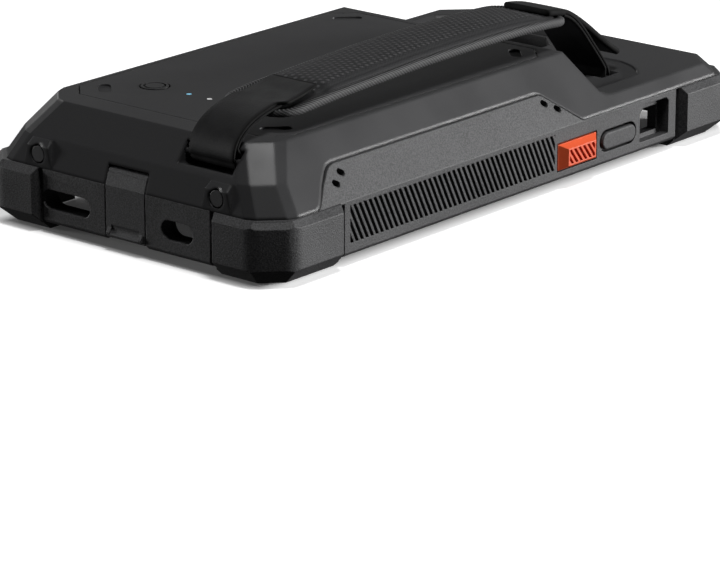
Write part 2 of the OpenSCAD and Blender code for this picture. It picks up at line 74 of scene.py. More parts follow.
def shader(name, colour, rough, spec=0.5, sheen=0.0, coat=0.0, metal=0.0):
    """Makes a material, keeps it in MAT, and gives its node tree and its Principled shader."""
    m = MAT[name] = bpy.data.materials.new(name)
    m.use_nodes = True
    nt = m.node_tree
    p = nt.nodes["Principled BSDF"]
    p.inputs["Base Color"].default_value = (*colour, 1)
    p.inputs["Roughness"].default_value = rough
    p.inputs["Metallic"].default_value = metal
    p.inputs["Specular IOR Level"].default_value = spec
    if sheen:
        p.inputs["Sheen Weight"].default_value = sheen
        p.inputs["Sheen Roughness"].default_value = 0.45
    if coat:
        p.inputs["Coat Weight"].default_value = coat
        p.inputs["Coat Roughness"].default_value = 0.35
    return nt, p


def coords(nt, output="Object"):
    return add(nt, "ShaderNodeTexCoord").outputs[output]


def attribute(nt, name):
    """A value that the mesh carries at its vertices."""
    return add(nt, "ShaderNodeAttribute", attribute_name=name).outputs["Fac"]


def texture(nt, kind, **values):
    """A texture in object space."""
    t = add(nt, kind, **values)
    nt.links.new(coords(nt), t.inputs["Vector"])
    return t


def noise_of(nt, scale, detail=2.0):
    """Noise with a number of features per metre."""
    return texture(nt, "ShaderNodeTexNoise", Scale=scale, Detail=detail).outputs["Fac"]


def calculate(nt, operation, *terms):
    """A sum on terms that are sockets or numbers."""
    n = add(nt, "ShaderNodeMath", operation=operation)
    for place, term in zip(n.inputs, terms):
        if isinstance(term, bpy.types.NodeSocket):
            nt.links.new(term, place)
        else:
            place.default_value = term
    return n.outputs[0]


def mix_colour(nt, factor, a, b):
    """Blends two colours, each a socket or a tuple."""
    n = add(nt, "ShaderNodeMix", data_type="RGBA")
    nt.links.new(factor, n.inputs[0])
    for place, colour in ((n.inputs[6], a), (n.inputs[7], b)):
        if isinstance(colour, tuple):
            place.default_value = (*colour, 1)
        else:
            nt.links.new(colour, place)
    return n.outputs[2]


def ramp(nt, source, lo, hi, out_lo=0.0, out_hi=1.0):
    """Takes lo to hi over to out_lo to out_hi, held at both ends."""
    n = add(nt, "ShaderNodeMapRange")
    n.clamp = True
    nt.links.new(source, n.inputs[0])
    for i, v in enumerate((lo, hi, out_lo, out_hi)):
        n.inputs[i + 1].default_value = v
    return n.outputs[0]


def bump(nt, p, height, strength, distance, under=None):
    """Relief of a depth in metres, on top of the one under it."""
    b = add(nt, "ShaderNodeBump", Strength=strength, Distance=distance)
    nt.links.new(height, b.inputs["Height"])
    if under is not None:
        nt.links.new(under.outputs["Normal"], b.inputs["Normal"])
    nt.links.new(b.outputs["Normal"], p.inputs["Normal"])
    return b


def scaled(colour, k):
    return tuple(min(1.0, c * k) for c in colour)


# ---------------------------------------------------------------- materials
GRAIN_DEPTH = 0.35  # depth of the grain as a share of its size
PATCH_SCALE = 60.0  # per metre, for the slow changes of tone and gloss


def dull_faces(nt, p, rough, spec, extra):
    """A duller texture on faces that lie flat and face up, and on those that face the port end."""
    facing = add(nt, "ShaderNodeSeparateXYZ")
    nt.links.new(coords(nt, "Normal"), facing.inputs[0])
    to_top = ramp(nt, facing.outputs["Z"], 0.92, 0.99, 0.0, extra)
    to_end = ramp(nt, facing.outputs["X"], -0.78, -0.7, extra, 0.0)
    nt.links.new(ramp(nt, to_end, 0.0, extra, spec, 0.3 * spec), p.inputs["Specular IOR Level"])
    return calculate(nt, "ADD", calculate(nt, "ADD", to_top, rough), to_end)


def moulded(name, colour, rough, grain_mm, grain, spec=0.5, speck=0.25, wear=0.3, edge_mm=0.2, dull=0.0):
    """Moulded plastic or elastomer: spark-eroded grain, slight tone changes, softened and rubbed edges."""
    nt, p = shader(name, colour, rough, spec)
    size = grain_mm * MM
    fine = texture(nt, "ShaderNodeTexVoronoi", Scale=1 / size).outputs["Distance"]
    soft = noise_of(nt, 0.7 / size)
    large = noise_of(nt, PATCH_SCALE, 3.0)
    soft_edge = add(nt, "ShaderNodeBevel", Radius=edge_mm * MM, samples=6)
    bump(nt, p, calculate(nt, "ADD", fine, soft), grain, size * GRAIN_DEPTH, under=soft_edge)
    speckle = ramp(nt, soft, 0.35, 0.65, 0.0, 0.7)
    patches = ramp(nt, large, 0.35, 0.65, 0.0, 0.3)
    tone = calculate(nt, "ADD", speckle, patches)
    base = mix_colour(nt, tone, scaled(colour, 1 - speck), scaled(colour, 1 + speck))
    rubbed = tuple(min(1.0, c * 1.7 + 0.01) for c in colour)
    edge = ramp(nt, add(nt, "ShaderNodeNewGeometry").outputs["Pointiness"], 0.52, 0.60, 0.0, wear)
    nt.links.new(mix_colour(nt, edge, base, rubbed), p.inputs["Base Color"])
    gloss = ramp(nt, large, 0.3, 0.7, rough - 0.05, rough + 0.05)
    if dull:
        gloss = dull_faces(nt, p, gloss, spec, dull)
    nt.links.new(gloss, p.inputs["Roughness"])


def metal(name, colour, rough):
    """Metal with fine scratches along Y."""
    nt, p = shader(name, colour, rough, metal=1.0)
    stretch = add(nt, "ShaderNodeMapping", Scale=(1, 0.05, 1))
    nt.links.new(coords(nt), stretch.inputs["Vector"])
    scratches = add(nt, "ShaderNodeTexNoise", Scale=900.0, Detail=4.0)
    nt.links.new(stretch.outputs[0], scratches.inputs["Vector"])
    height = scratches.outputs["Fac"]
    nt.links.new(ramp(nt, height, 0.3, 0.7, rough - 0.07, rough + 0.12), p.inputs["Roughness"])
    bump(nt, p, height, 0.15, 0.03 * MM)


def glow(name, colour, power):
    """A lit light pipe with a slightly uneven gloss."""
    nt, p = shader(name, colour, 0.25)
    nt.links.new(ramp(nt, noise_of(nt, 900.0), 0.2, 0.8, 0.2, 0.32), p.inputs["Roughness"])
    p.inputs["Emission Color"].default_value = (*colour, 1)
    p.inputs["Emission Strength"].default_value = power


def coated_webbing(name, colour):
    """Smooth coated strap with a fine pebble and faint creases. Its rounded edges and ends are dull and near
    black: painted shade along the edges and behind the flap's end.
    """
    nt, p = shader(name, colour, 0.5, 0.18)
    pebble = texture(nt, "ShaderNodeTexVoronoi", feature="SMOOTH_F1", Scale=2600.0).outputs["Distance"]
    crease = noise_of(nt, 260.0, 4.0)
    rim = attribute(nt, "rim")
    creased = bump(nt, p, crease, 0.12, 0.2 * MM)
    bump(nt, p, pebble, 0.25, 0.08 * MM, under=creased)
    face = mix_colour(nt, ramp(nt, crease, 0.3, 0.7), scaled(colour, 0.85), scaled(colour, 1.2))
    # the rim turns near black: painted shade on the strap's edges and ends
    nt.links.new(mix_colour(nt, rim, face, (0.002, 0.002, 0.002)), p.inputs["Base Color"])
    gloss = ramp(nt, crease, 0.3, 0.7, 0.46, 0.58)
    nt.links.new(calculate(nt, "MULTIPLY_ADD", rim, 0.35, gloss), p.inputs["Roughness"])


def woven(name, dark, light, weave_mm, carried=None, rough=0.75, sheen=0.0):
    """Cloth with a plain weave. It is lighter where the mesh's carried value, or else the weave, is high."""
    nt, p = shader(name, dark, rough, 0.3, sheen=sheen)
    sep = add(nt, "ShaderNodeSeparateXYZ")
    nt.links.new(coords(nt), sep.inputs[0])
    turns = math.tau / (weave_mm * MM)
    waves = []
    for axis in ("X", "Y"):
        waves.append(calculate(nt, "SINE", calculate(nt, "MULTIPLY", sep.outputs[axis], turns)))
    weave = calculate(nt, "MULTIPLY", *waves)
    fuzz = bump(nt, p, noise_of(nt, 3000.0, 3.0), 0.3, 0.08 * MM)
    bump(nt, p, weave, 0.5, 0.06 * MM, under=fuzz)
    factor = attribute(nt, carried) if carried else ramp(nt, weave, -1, 1, 0.0, 0.6)
    nt.links.new(mix_colour(nt, factor, dark, light), p.inputs["Base Color"])


def board(name):
    """Green circuit board with a faint grid of tracks."""
    nt, p = shader(name, (0.02, 0.12, 0.05), 0.35, coat=0.5)
    tracks = texture(
        nt, "ShaderNodeTexBrick", Scale=220.0,
        Color1=(0.02, 0.13, 0.055, 1), Color2=(0.018, 0.10, 0.045, 1), Mortar=(0.04, 0.2, 0.09, 1),
    )
    nt.links.new(tracks.outputs["Color"], p.inputs["Base Color"])


# each moulded material: name, colour, roughness, size of the grain, strength of its relief
moulded("frame_tpu", (0.051, 0.051, 0.0525), 0.52, 0.24, 0.38,
        spec=0.22, speck=0.5, wear=0.0, edge_mm=0.3)
moulded("housing_plastic", (0.035, 0.035, 0.0362), 0.37, 0.16, 0.10,
        spec=0.22, speck=0.06, wear=0.0, edge_mm=0.95, dull=0.46)
moulded("cover_plastic", (0.034, 0.034, 0.0352), 0.38, 0.16, 0.10,
        spec=0.22, speck=0.06, wear=0.05, edge_mm=0.25, dull=0.46)
moulded("tray_plastic", (0.022, 0.022, 0.023), 0.45, 0.2, 0.25, spec=0.45, speck=0.1)
moulded("bezel_rubber", (0.03, 0.03, 0.031), 0.7, 0.25, 0.3)
moulded("door_rubber", (0.052, 0.052, 0.054), 0.65, 0.24, 0.4, spec=0.3, speck=0.35, wear=0.0)
moulded("key_rubber", (0.040, 0.040, 0.0415), 0.58, 0.24, 0.38, spec=0.28, speck=0.4, wear=0.0)
moulded("connector_plastic", (0.05, 0.05, 0.05), 0.45, 0.2, 0.2)
moulded("orange_plastic", (0.60, 0.078, 0.022), 0.45, 0.15, 0.12, spec=0.35, speck=0.05, wear=0.1)
moulded("foam", (0.86, 0.86, 0.84), 0.9, 0.3, 0.5, speck=0.05, wear=0.0)
moulded("black_steel", (0.020, 0.020, 0.021), 0.45, 0.2, 0.15, spec=0.4)
metal("battery_foil", (0.62, 0.63, 0.65), 0.35)
metal("switch_metal", (0.6, 0.6, 0.61), 0.3)
metal("steel", (0.62, 0.62, 0.63), 0.28)
metal("copper", (0.80, 0.42, 0.18), 0.3)
board("circuit_board")
glow("led_blue", (0.22, 0.60, 0.85), 0.2)
glow("led_white", (0.8, 0.8, 0.8), 0.15)
coated_webbing("strap_leather", (0.0125, 0.0125, 0.013))
woven("pad_mesh", (0.017, 0.017, 0.018), (0.060, 0.060, 0.062), 0.5, carried="dots")
# the braid's light colour goes on the strand crests and its near-black colour in the grooves: painted
# highlight and painted shade
woven("braid", (0.004, 0.004, 0.004), (0.12, 0.12, 0.123), 0.2, carried="strand", rough=0.65)
woven("liner_fabric", (0.016, 0.016, 0.017), (0.03, 0.03, 0.031), 0.6, sheen=0.25)

SLOT = {s["node"]: s["material_slot"] for s in frame["record"]["subparts"]}
for node_name, node_object in NODES.items():
    node_object.data.materials.clear()
    node_object.data.materials.append(MAT[SLOT[node_name]])


# ---------------------------------------------------------------- mesh tools
def make(name, bm, material, sharp_angle):
    """An object made from bm, smooth except where its faces meet at more than sharp_angle degrees."""
    me = bpy.data.meshes.new(name)
    bm.to_mesh(me)
    bm.free()
    for poly in me.polygons:
        poly.use_smooth = True
    me.materials.append(MAT[material])
    ob = bpy.data.objects.new(name, me)
    bpy.context.scene.collection.objects.link(ob)
    me.set_sharp_from_angle(angle=math.radians(sharp_angle))
    return ob


def step_up(t, a, b):
    """Goes smoothly from 0 at a to 1 at b, which may lie on either side of a."""
    x = min(1, max(0, (t - a) / (b - a)))
    return x * x * (3 - 2 * x)


def round_point(centre, radius, degrees):
    a = math.radians(degrees)
    return centre[0] + radius * math.cos(a), centre[1] + radius * math.sin(a)


def skin(bm, rows):
    """Joins each row of vertices to the next, round the row."""
    for a, b in rows:
        for j in range(len(a)):
            k = (j + 1) % len(a)
            bm.faces.new((a[j], a[k], b[k], b[j]))


# ---------------------------------------------------------------- rubber keys
KEY_EDGE = 0.45
KEY_SEGMENTS = 4
MERGE = 0.001  # vertices nearer than this are one


def rounded(name, node):
    """A copy of a key with flat faces merged and its sharp edges rounded, shown in its place."""
    src = NODES[node]
    bm = bmesh.new()
    bm.from_mesh(src.data)
    bmesh.ops.remove_doubles(bm, verts=bm.verts, dist=2 * MERGE * MM)
    bmesh.ops.dissolve_limit(bm, angle_limit=math.radians(0.6), verts=bm.verts, edges=bm.edges)
    bm.normal_update()
    sharp = math.radians(20)
    edges = [e for e in bm.edges if len(e.link_faces) == 2 and e.calc_face_angle(0) > sharp]
    bmesh.ops.bevel(
        bm, geom=edges, offset=KEY_EDGE * MM, offset_type="OFFSET", segments=KEY_SEGMENTS,
        profile=0.5, affect="EDGES", clamp_overlap=False, miter_outer="ARC",
    )
    bmesh.ops.remove_doubles(bm, verts=bm.verts, dist=MERGE * MM)
    bmesh.ops.dissolve_degenerate(bm, dist=MERGE * MM, edges=bm.edges)
    ob = make(name, bm, SLOT[node], 40)
    mod = ob.modifiers.new("normals", "WEIGHTED_NORMAL")
    mod.keep_sharp = True
    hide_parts(node)
    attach(ob, src["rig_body"])


rounded("volume_cap", "volume_key")
rounded("phone_power_cap", "phone_power_key")


# ---------------------------------------------------------------- strap
STRAP_Y = -20.0
TAB_Y = -20.3
TAB_W = 12.4
TAB_T = 1.4
LAYER_GAP = 0.03  # between the two layers of a strap end, and between the pad and the strap
LAYER_T = TAB_T / 2 - 0.02
STEP = 0.45  # spacing of the cross sections
CROWN = 0.05  # rise of a strip's face in the middle

# the pad along X: place, height of its middle, half of its thickness
PAD_STATIONS = [
    (-63.5, 30.9, 0.6), (-60, 31.3, 0.7), (-56, 31.7, 0.8), (-52, 32.05, 0.95),
    (-48, 32.35, 1.1), (-42, 32.7, 1.25), (-30, 33.2, 1.3), (-18, 33.7, 1.3),
    (-6, 33.9, 1.3), (6, 33.95, 1.3), (14, 33.85, 1.25), (18, 33.7, 1.1),
    (21.5, 33.55, 1.0), (25, 33.35, 0.9), (30, 32.95, 0.75), (33.5, 32.3, 0.6),
]


def over(i):
    """The strap's middle line where it lies on the pad at station i."""
    x, z, half = PAD_STATIONS[i]
    return x, z + half + TAB_T / 2 + LAYER_GAP


# routes in XZ: the front end from its bar up to the flap's end, the rear end from its bar up to the pad,
# and the upper layer at the rear from the pad to its loose end
FRONT = [
    (-74.55, 23.6), (-74.6, 24.6), (-74.3, 26.0), (-73.2, 27.9), (-71.2, 29.5), (-68.8, 30.75), (-66, 31.65),
    over(0), over(1), over(2), over(3), (-50, (over(3)[1] + over(4)[1]) / 2),
]
REAR = [
    (50.95, 15.5), (50.75, 16.9), (49.7, 18.5), (48.05, 20.5), (46.3, 22.6), (44.5, 24.6),
    (42.4, 27.1), (40.5, 29.1), (38.4, 31.0), (36.2, 32.5), (34.0, 33.3),
]
TAIL = [
    (27.6, 34.62), (30, 34.35), (33.5, 33.75), (35.9, 33.1), (38.7, 31.6),
    (43.0, 28.8), (47.1, 25.75), (51.3, 22.8), (55.5, 20.15),
]
FRONT_BAR, FRONT_BAR_R = (-73.2, 23.0), 0.85
REAR_BAR, REAR_BAR_R = (50.5, 15.2), 0.65


def smooth_line(points, step, rounds=3):
    """Cuts the corners of a line and spaces its points evenly."""
    pts = [Vector(p) for p in points]
    for _ in range(rounds):
        cut = [pts[0]]
        for a, b in zip(pts, pts[1:]):
            cut += [a * 0.75 + b * 0.25, a * 0.25 + b * 0.75]
        pts = cut + [pts[-1]]
    out, left = [pts[0]], step
    for a, b in zip(pts, pts[1:]):
        length = (b - a).length
        while length >= left > 0:
            a = a + (b - a) * (left / length)
            out.append(a.copy())
            length = (b - a).length
            left = step
        left -= length
    out.append(pts[-1])
    return out


def normals_2d(line):
    out = []
    for i in range(len(line)):
        t = (line[min(i + 1, len(line) - 1)] - line[max(i - 1, 0)]).normalized()
        out.append(Vector((-t[1], t[0])))
    return out


def shift(line, d):
    return [p + n * d for p, n in zip(line, normals_2d(line))]


def cross_section(flat_steps=14, cap_steps=6):
    """Round a strip: place across its width, side of the strip, and reach beyond the flat part."""
    caps = [i / cap_steps * math.pi for i in range(1, cap_steps)]
    flat = [2 * j / flat_steps - 1 for j in range(flat_steps + 1)]
    section = [(u, 1, 0) for u in flat]
    section += [(1, math.sin(math.pi / 2 - a), math.cos(math.pi / 2 - a)) for a in caps]
    section += [(-u, -1, 0) for u in flat]
    section += [(-1, math.sin(-math.pi / 2 - a), math.cos(-math.pi / 2 - a)) for a in caps]
    return section


def ribbon(name, line, thickness, width_at, middle_at, lift_at=None):
    """A strip swept along a line in XZ, with rounded edges that it marks as its rim, where the strap material
    paints shade, and a slight crown.
    """
    bm = bmesh.new()
    rim = bm.verts.layers.float.new("rim")
    rows = []
    r = thickness / 2
    section = cross_section()
    for i, (p, n) in enumerate(zip(line, normals_2d(line))):
        s = i / (len(line) - 1)
        half, middle = width_at(s) / 2, middle_at(s)
        row = []
        for u, side, out in section:
            x, z = p + n * (side * r + CROWN * (1 - u * u))
            if lift_at:
                z += lift_at(s, u)
            v = bm.verts.new((x * MM, (middle + u * (half - r) + out * r) * MM, z * MM))
            # rim marks the rounded edges and the first rows, which the strap material darkens as painted
            # shade
            v[rim] = 1.0 if out or i < 2 else 0.5 * (abs(u) > 0.99)
            row.append(v)
        rows.append(row)
    skin(bm, zip(rows, rows[1:]))
    bm.faces.new(rows[0][::-1])
    bm.faces.new(rows[-1])
    bmesh.ops.recalc_face_normals(bm, faces=bm.faces)
    ends = [e for f in bm.faces if len(f.verts) > 4 for e in f.edges]
    bmesh.ops.bevel(bm, geom=ends, offset=0.7 * r * MM, segments=3, profile=0.5, affect="EDGES")
    ob = make(name, bm, "strap_leather", 60)
    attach(ob, "sled")
    return ob


def strap_end(name, node, line, bar, bar_r, arc, inner_share, flap_width=TAB_W, flap_middle=TAB_Y):
    """A strap end: its outer layer comes off the pad, goes round the bar and returns inside it.

    arc holds the angles in degrees between which it goes round the bar. The inner layer is as long as
    inner_share of the route. The rest of the outer layer is the flap that lies on the pad.
    """
    sign = 1 if arc[0] < arc[1] else -1
    centre = smooth_line(line, 0.5)
    offset = sign * (LAYER_T + LAYER_GAP) / 2
    outer = shift(centre, offset)
    inner = shift(centre, -offset)[5: int(len(centre) * inner_share) + 2]
    turn_r = bar_r + LAYER_T / 2 + 0.02
    turn_steps = 14
    turn = []
    for i in range(turn_steps + 1):
        turn.append(Vector(round_point(bar, turn_r, arc[0] + (arc[1] - arc[0]) * i / turn_steps)))
    path = smooth_line(outer[::-1] + turn + inner, STEP, rounds=1)
    outer_share = len(outer) / (len(outer) + len(turn) + len(inner))
    flap = 1 - inner_share

    def on_flap(s):
        """1 on the flap and 0 on the rest of the strap."""
        return 1 - step_up(s / outer_share, flap * 0.92, flap * 1.06) if flap > 0 else 0.0

    def along_flap(s, start):
        """From start at the flap's end to 1 where the flap ends and the doubled strap begins."""
        return start + (1 - start) * min(1, s / outer_share / max(flap, 0.01))

    def width(s):
        rounded_end = 0.8 * (1 - step_up(s / outer_share, 0, 0.03))
        return TAB_W + (flap_width - TAB_W) * on_flap(s) * along_flap(s, 0.35) - rounded_end

    def middle(s):
        return TAB_Y + (flap_middle - TAB_Y) * on_flap(s) * along_flap(s, 0.6)

    def lift(s, u):
        """The edges rise where the layers part, and the flap's end stands a little clear of the pad."""
        if flap <= 0:
            return 0.0
        parting = math.exp(-((s / outer_share - flap) / 0.05) ** 2)
        return 0.12 * parting * abs(u) ** 4 + 0.35 * (1 - step_up(s / outer_share, 0.0, 0.2))

    ob = ribbon(name, path, LAYER_T, width, middle, lift)
    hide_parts(node)


strap_end(
    "front_tab", "strap_tab_front", FRONT, FRONT_BAR, FRONT_BAR_R, (165, 395), 0.62,
    flap_width=13.4, flap_middle=-21.6,
)
strap_end("rear_tab", "strap_tab_rear", REAR, REAR_BAR, REAR_BAR_R, (30, -215), 1.0)


def loose_end():
    """The upper layer at the rear: a flap on the pad that runs on over the crest and ends free."""
    rounding = 0.9

    def on_pad(s):
        return 1 - step_up(s, 0.15, 0.24)

    def width(s):
        corner = max(0.0, 1 - min(s, 1 - s) / 0.035)
        return TAB_W - 0.2 + 0.9 * on_pad(s) - rounding * corner * corner

    def middle(s):
        return TAB_Y - 0.25 * on_pad(s)

    ribbon("rear_loose_end", smooth_line(TAIL, STEP), TAB_T, width, middle)


loose_end()

# ---------------------------------------------------------------- pad
PAD_X = -15.0
PAD_HX, PAD_HY, PAD_R = 48.5, 10.0, 6.0  # half length, half width and corner radius of the pad
PAD_STEPS = (480, 90)
DOT_X, DOT_Y, DOT_R = 1.55, 1.34, 0.5  # pitch along, pitch across and radius of the raised dots
DOT_HEIGHT = 0.13
DOT_BORDER = 2.3  # plain border round the field of dots
SEAM = 1.5  # from the edge of the sleeve to the middle of the sewn channel
CHANNEL_DEPTH, CHANNEL_W = 0.2, 0.35
SLEEVE_INSET = 1.15  # from the pad's outline to the edge of the sleeve, which the braid covers
END_TAPER = 4.0  # length over which each end of the sleeve closes
DOME = 0.75  # the sleeve stands this much prouder between the flaps, which hold it down
FRONT_FLAP_END, REAR_FLAP_END = (-49.3, -46.0), (27.2, 22.0)  # from where it is held down to where it is free
SAG = 0.43  # the lining hangs this much lower than the pad's half thickness


def station(x):
    """Height of the pad's middle and its half thickness at x."""
    if x <= PAD_STATIONS[0][0]:
        return PAD_STATIONS[0][1:]
    for a, b in zip(PAD_STATIONS, PAD_STATIONS[1:]):
        if x <= b[0]:
            f = (x - a[0]) / (b[0] - a[0])
            return a[1] + (b[1] - a[1]) * f, a[2] + (b[2] - a[2]) * f
    return PAD_STATIONS[-1][1:]


def soft_station(x):
    """As station, with the height averaged along X."""
    heights = [station(x + d)[0] for d in (-4, -2, 0, 2, 4)]
    return sum(heights) / len(heights), station(x)[1]


def half_width(x, inset):
    """Half width of the pad's rounded outline at x, drawn in by inset."""
    hx, hy, r = PAD_HX - inset, PAD_HY - inset, PAD_R - inset
    d = abs(x - PAD_X) - (hx - r)
    return hy if d <= 0 else hy - r + math.sqrt(max(0.0, r * r - d * d))


def ripple(x, y, fx, fy, seed):
    return noise.noise(Vector((x * fx, y * fy, seed)))


def dot_at(x, y, to_edge):
    """How far up a raised dot the point is, from 0 to 1. Odd rows are half a pitch along."""
    if to_edge <= DOT_BORDER:
        return 0.0
    row = round(y / DOT_Y)
    off = 0.5 * DOT_X if row % 2 else 0.0
    dx = (x - off + DOT_X / 2) % DOT_X - DOT_X / 2
    dy = y - row * DOT_Y
    return max(0.0, 1 - (dx * dx + dy * dy) / (DOT_R * DOT_R)) * min(1.0, (to_edge - DOT_BORDER) / 0.5)


def sleeve_point(w, v, upper):
    """A point of the sleeve's upper or lower skin and its dot value. w along and v across go from -1 to 1."""
    hx = PAD_HX - SLEEVE_INSET
    x = PAD_X + hx * w
    half = half_width(x, SLEEVE_INSET)
    y = half * v
    z, h = soft_station(x)
    end = max(0.0, min(1.0, (hx - abs(x - PAD_X)) / END_TAPER))
    swell = max(0.0, 1 - abs(v) ** 3.0) ** (1 / 2.2) * math.sqrt(end * (2 - end))
    if not upper:
        sag = SAG + 0.1 * ripple(x, y, 0.15, 0.3, 1.0)
        return x, y, z - (h + sag) * swell, 0.0
    to_edge = min(half - abs(y), hx - abs(x - PAD_X))
    free = step_up(x, *FRONT_FLAP_END) * step_up(x, *REAR_FLAP_END)
    channel = CHANNEL_DEPTH * math.exp(-((to_edge - SEAM) / CHANNEL_W) ** 2)
    wave = 0.10 * ripple(x, y, 0.06, 0.15, 3.1) + 0.05 * ripple(x, y, 0.3, 0.4, 7.7)
    dot = dot_at(x, y, to_edge)
    top = z + (h + DOME * free + wave - channel) * swell + DOT_HEIGHT * dot ** 0.6
    return x, y, top, min(1.0, dot * 1.3)


def padded_sleeve():
    """The pad as one closed form: a dotted mesh face with a sewn channel, and a smooth lining below."""
    nx, ny = PAD_STEPS
    bm = bmesh.new()
    dots = bm.verts.layers.float.new("dots")
    for upper in (True, False):
        rows = []
        for i in range(nx + 1):
            row = []
            for j in range(ny + 1):
                x, y, z, dot = sleeve_point(2 * i / nx - 1, 2 * j / ny - 1, upper)
                v = bm.verts.new((x * MM, (STRAP_Y + y) * MM, z * MM))
                v[dots] = dot
                row.append(v)
            rows.append(row)
        for a, b in zip(rows, rows[1:]):
            for j in range(ny):
                corners = (a[j], b[j], b[j + 1], a[j + 1])
                face = bm.faces.new(corners if upper else corners[::-1])
                face.material_index = 0 if upper else 1
    bmesh.ops.remove_doubles(bm, verts=[v for v in bm.verts if v.is_boundary], dist=0.005 * MM)
    ob = make("hand_pad", bm, "pad_mesh", 180)
    ob.data.materials.append(MAT["liner_fabric"])
    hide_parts("strap_pad", "pad_liner")
    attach(ob, "sled")


padded_sleeve()

# ---------------------------------------------------------------- braided edge
BRAID_INSET = 0.95
BRAID_PITCH = 0.85  # of the strands along the edge
BRAID_SLANT = 1.5  # pitches that a strand moves along from the middle of a side to the top
BRAID_HALF_W = 0.85
BRAID_HALF_H = 0.95
BRAID_DROP = 0.35
BRAID_AROUND = 28
BRAID_STEP = 0.1


def braid_line():
    """The pad's rounded outline, drawn in by the braid's inset, as evenly spaced points."""
    hx, hy, r = PAD_HX - BRAID_INSET, PAD_HY - BRAID_INSET, PAD_R - BRAID_INSET
    pts = []
    corners = ((hx - r, hy - r, 0), (r - hx, hy - r, 90), (r - hx, r - hy, 180), (hx - r, r - hy, 270))
    for cx, cy, start in corners:
        pts += [Vector(round_point((cx, cy), r, start + d)) for d in range(0, 91, 5)]
    line = []
    for a, b in zip(pts, pts[1:] + pts[:1]):
        n = max(1, round((b - a).length / BRAID_STEP))
        line += [a + (b - a) * (k / n) for k in range(n)]
    return line


def squared(value):
    """Flattens a circle's side a little towards a square's."""
    return math.copysign(abs(value) ** 0.8, value)


def binding():
    """The braided edge: a soft tube round the pad with slanted strands, whose crests carry a painted
    highlight and whose grooves a painted shade.
    """
    line = braid_line()
    total = sum((b - a).length for a, b in zip(line, line[1:] + line[:1]))
    pitch = total / round(total / BRAID_PITCH)
    bm = bmesh.new()
    strand = bm.verts.layers.float.new("strand")
    rows, s = [], 0.0
    for i, p in enumerate(line):
        after = line[(i + 1) % len(line)]
        t = (after - line[i - 1]).normalized()
        x = PAD_X + p[0]
        z, h = soft_station(x)
        half_h = min(h + 0.1, BRAID_HALF_H)
        z -= BRAID_DROP * min(1.0, h / 1.3)
        row = []
        for j in range(BRAID_AROUND):
            a = math.tau * j / BRAID_AROUND
            rib = 0.5 + 0.5 * math.cos(math.tau * (s / pitch + BRAID_SLANT * math.sin(a)))
            grow = 1 + 0.07 * rib
            out = BRAID_HALF_W * grow * squared(math.cos(a))
            up = half_h * grow * squared(math.sin(a))
            v = bm.verts.new(((x + t[1] * out) * MM, (STRAP_Y + p[1] - t[0] * out) * MM, (z + up) * MM))
            # strand is high on the crest of each strand: painted highlight there, painted shade between
            # strands
            v[strand] = rib ** 3
            row.append(v)
        rows.append(row)
        s += (after - p).length
    skin(bm, zip(rows, rows[1:] + rows[:1]))
    bmesh.ops.recalc_face_normals(bm, faces=bm.faces)
    ob = make("pad_braid", bm, "braid", 180)
    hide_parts("strap_binding")
    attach(ob, "sled")


binding()

# ---------------------------------------------------------------- honeycomb on the phone floor
TILE_PITCH_X, TILE_PITCH_Y, TILE_GAP = 5.05, 4.35, 0.55
TILE_BASE, TILE_FACE = 10.9, 10.62  # height of the floor that the tiles stand on, and of their faces
FIELD_X, FIELD_Y, FIELD_CORNER = 71.3, 33.9, 5.0
CAMERA_X, CAMERA_Y = 55.0, 17.0
MIN_TILE_AREA = 1.2


def clip(poly, a, b, c):
    """Keeps the part of a convex outline where a*x + b*y <= c."""
    out = []
    for i, p in enumerate(poly):
        q = poly[(i + 1) % len(poly)]
        fp, fq = a * p[0] + b * p[1] - c, a * q[0] + b * q[1] - c
        if fp <= 0:
            out.append(p)
        if fp * fq < 0:
            t = fp / (fp - fq)
            out.append((p[0] + (q[0] - p[0]) * t, p[1] + (q[1] - p[1]) * t))
    return out


def tile(cx, cy):
    """A six-sided outline round (cx, cy), cut off at the sides and corners of the field."""
    reach_x = (TILE_PITCH_X - TILE_GAP) / 2 / math.cos(math.pi / 6)
    reach_y = TILE_PITCH_Y / 1.5 - TILE_GAP / 1.9
    outline = []
    for k in range(6):
        a = math.radians(60 * k)
        outline.append((cx + reach_x * math.sin(a), cy + reach_y * math.cos(a)))
    for sign in (1, -1):
        outline = clip(outline, sign, 0, FIELD_X)
    for sign in (1, -1):
        outline = clip(outline, 0, sign, FIELD_Y)
    for sx in (1, -1):
        for sy in (1, -1):
            outline = clip(outline, sx, sy, FIELD_X + FIELD_Y - FIELD_CORNER)
    return outline


def by_the_camera(x, y):
    """The rim round the camera opening stays plain."""
    dx, dy = abs(x - CAMERA_X), abs(y - CAMERA_Y)
    return dx < 19.2 and dy < 20.3 and dx + dy < 32


def area_of(outline):
    return 0.5 * abs(sum(p[0] * q[1] - q[0] * p[1] for p, q in zip(outline, outline[1:] + outline[:1])))


